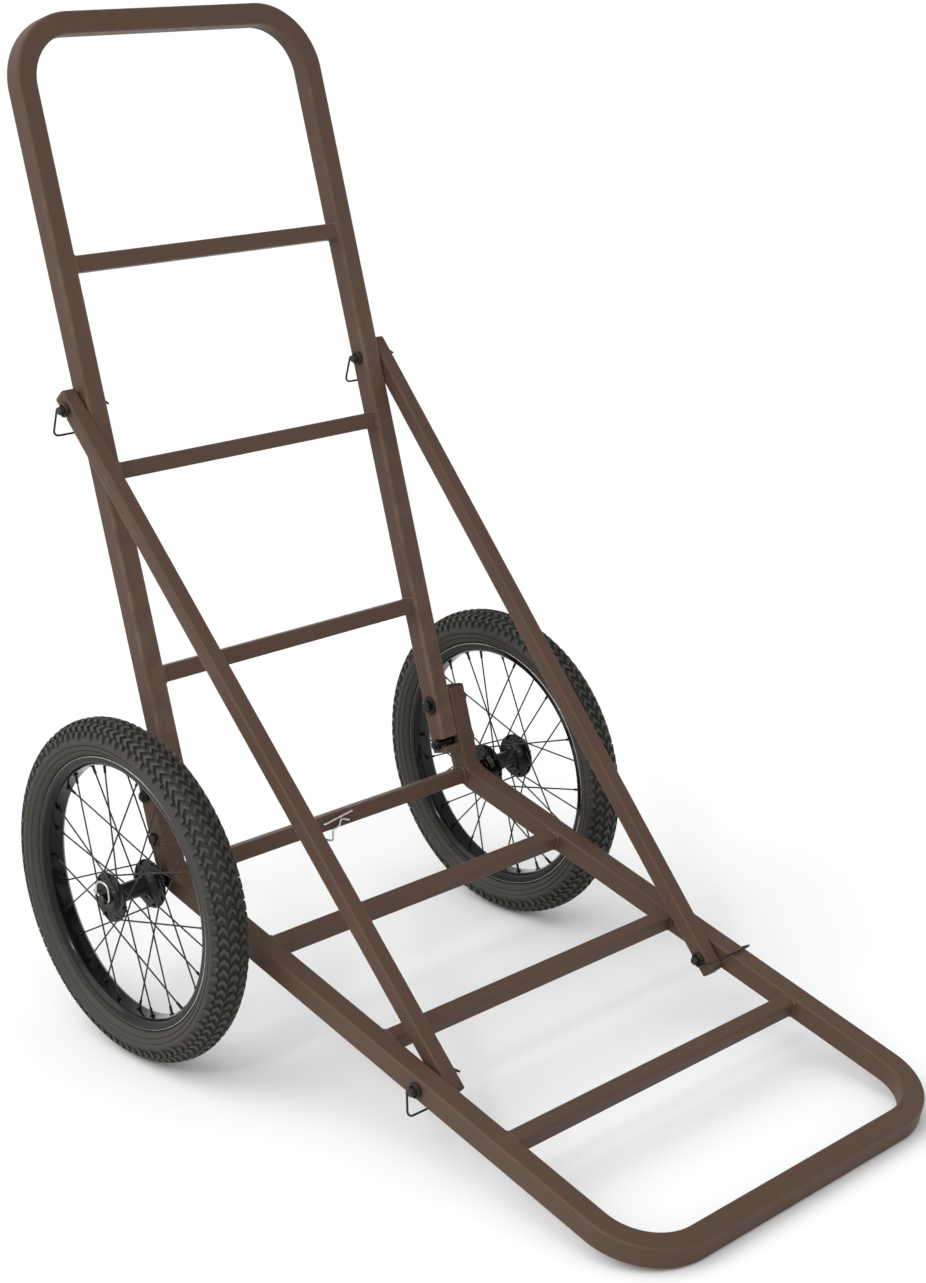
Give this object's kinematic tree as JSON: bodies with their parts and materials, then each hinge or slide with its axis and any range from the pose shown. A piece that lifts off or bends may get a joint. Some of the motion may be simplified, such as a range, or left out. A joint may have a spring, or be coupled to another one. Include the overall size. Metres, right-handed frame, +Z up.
{
  "type": "game cart",
  "caption": "Two-wheeled folding cart of square tube with a low deck, a tall handle frame, pinned side braces and spoked pneumatic wheels, for hauling game and field gear.",
  "frame": {"origin": "centre of the footprint of the whole cart as it stands in use, on the floor", "axes": "+X to the cart's right as seen from the front end, +Y from the deck's front to the handle, +Z up"},
  "size_m": [0.654, 1.0182, 1.1411],
  "materials": {
    "brown_paint": "satin brown powder coat, worn lighter along the edges",
    "black_plastic": "moulded black",
    "tyre_rubber": "dark olive-grey rubber",
    "tube_rubber": "black butyl",
    "black_rim": "glossy black paint",
    "black_steel": "black oxide",
    "bright_steel": "bright zinc"
  },
  "bodies": {
    "load_frame": {"axle": "bright_steel", "axle_clip": "bright_steel", "axle_spacer_left": "black_steel", "axle_spacer_right": "black_steel", "axle_tube": "brown_paint", "crossbar_front": "brown_paint", "crossbar_middle": "brown_paint", "crossbar_rear": "brown_paint", "deck_rail": "brown_paint", "hub_clip_left": "bright_steel", "hub_clip_right": "bright_steel", "lock_bolt_left": "black_steel", "lock_bolt_right": "black_steel", "lock_nut_left": "black_steel", "lock_nut_right": "black_steel", "lower_pin_left": "black_steel", "lower_pin_right": "black_steel", "pivot_bolt_left": "black_steel", "pivot_bolt_right": "black_steel", "pivot_nut_left": "black_steel", "pivot_nut_right": "black_steel", "pivot_washer_left": "black_steel", "pivot_washer_right": "black_steel", "upright_left": "brown_paint", "upright_plug_left": "black_plastic", "upright_plug_right": "black_plastic", "upright_right": "brown_paint"},
    "handle": {"handle_tube": "brown_paint", "rung_high": "brown_paint", "rung_low": "brown_paint", "rung_middle": "brown_paint", "upper_pin_left": "black_steel", "upper_pin_right": "black_steel"},
    "brace_left": {"brace_foot_plug_left": "black_plastic", "brace_left": "brown_paint", "brace_top_plug_left": "black_plastic"},
    "brace_right": {"brace_foot_plug_right": "black_plastic", "brace_right": "brown_paint", "brace_top_plug_right": "black_plastic"},
    "wheel_left": {"bearing_inner_left": "bright_steel", "bearing_outer_left": "bright_steel", "hub_left": "black_steel", "inner_tube_left": "tube_rubber", "rim_left": "black_rim", "spokes_left": "black_steel", "tyre_left": "tyre_rubber"},
    "wheel_right": {"bearing_inner_right": "bright_steel", "bearing_outer_right": "bright_steel", "hub_right": "black_steel", "inner_tube_right": "tube_rubber", "rim_right": "black_rim", "spokes_right": "black_steel", "tyre_right": "tyre_rubber"},
    "upper_bail_left": {"upper_bail_left": "black_steel"},
    "upper_bail_right": {"upper_bail_right": "black_steel"},
    "lower_bail_left": {"lower_bail_left": "black_steel"},
    "lower_bail_right": {"lower_bail_right": "black_steel"}
  },
  "joints": [
    {"name": "handle_fold", "type": "hinge", "parent": "load_frame", "child": "handle", "pos_m": [0, 0.26266, 0.29154], "axis": [1, 0, 0], "range_deg": [0, 117]},
    {"name": "brace_fold_left", "type": "hinge", "parent": "load_frame", "child": "brace_left", "pos_m": [0, -0.18595, 0.09291], "axis": [1, 0, 0], "range_deg": [0, 135]},
    {"name": "brace_fold_right", "type": "hinge", "parent": "load_frame", "child": "brace_right", "pos_m": [0, -0.18595, 0.09291], "axis": [1, 0, 0], "range_deg": [0, 135]},
    {"name": "upper_bail_swing_left", "type": "hinge", "parent": "handle", "child": "upper_bail_left", "pos_m": [-0.24333, 0.38051, 0.71651], "axis": [0, 0.9511, 0.309], "range_deg": [0, 171]},
    {"name": "upper_bail_swing_right", "type": "hinge", "parent": "handle", "child": "upper_bail_right", "pos_m": [0.183, 0.38051, 0.71651], "axis": [0, 0.9511, 0.309], "range_deg": [0, 171]},
    {"name": "lower_bail_swing_left", "type": "hinge", "parent": "load_frame", "child": "lower_bail_left", "pos_m": [-0.248, -0.18595, 0.09291], "axis": [0, 1, 0], "range_deg": [0, 171]},
    {"name": "lower_bail_swing_right", "type": "hinge", "parent": "load_frame", "child": "lower_bail_right", "pos_m": [0.18527, -0.18595, 0.09291], "axis": [0, -0.5, -0.866], "range_deg": [0, 171]},
    {"name": "wheel_spin_left", "type": "hinge", "parent": "load_frame", "child": "wheel_left", "pos_m": [-0.287, 0.23677, 0.199], "axis": [1, 0, 0], "continuous": true},
    {"name": "wheel_spin_right", "type": "hinge", "parent": "load_frame", "child": "wheel_right", "pos_m": [0.287, 0.23677, 0.199], "axis": [1, 0, 0], "continuous": true}
  ],
  "couplings": [
    {"joint": "brace_fold_left", "follows": "handle_fold", "ratio": 1.152},
    {"joint": "brace_fold_right", "follows": "handle_fold", "ratio": 1.152},
    {"joint": "upper_bail_swing_left", "follows": "handle_fold", "ratio": 1.45},
    {"joint": "upper_bail_swing_right", "follows": "handle_fold", "ratio": 1.45},
    {"joint": "lower_bail_swing_left", "follows": "handle_fold", "ratio": 1.45},
    {"joint": "lower_bail_swing_right", "follows": "handle_fold", "ratio": 1.45}
  ]
}
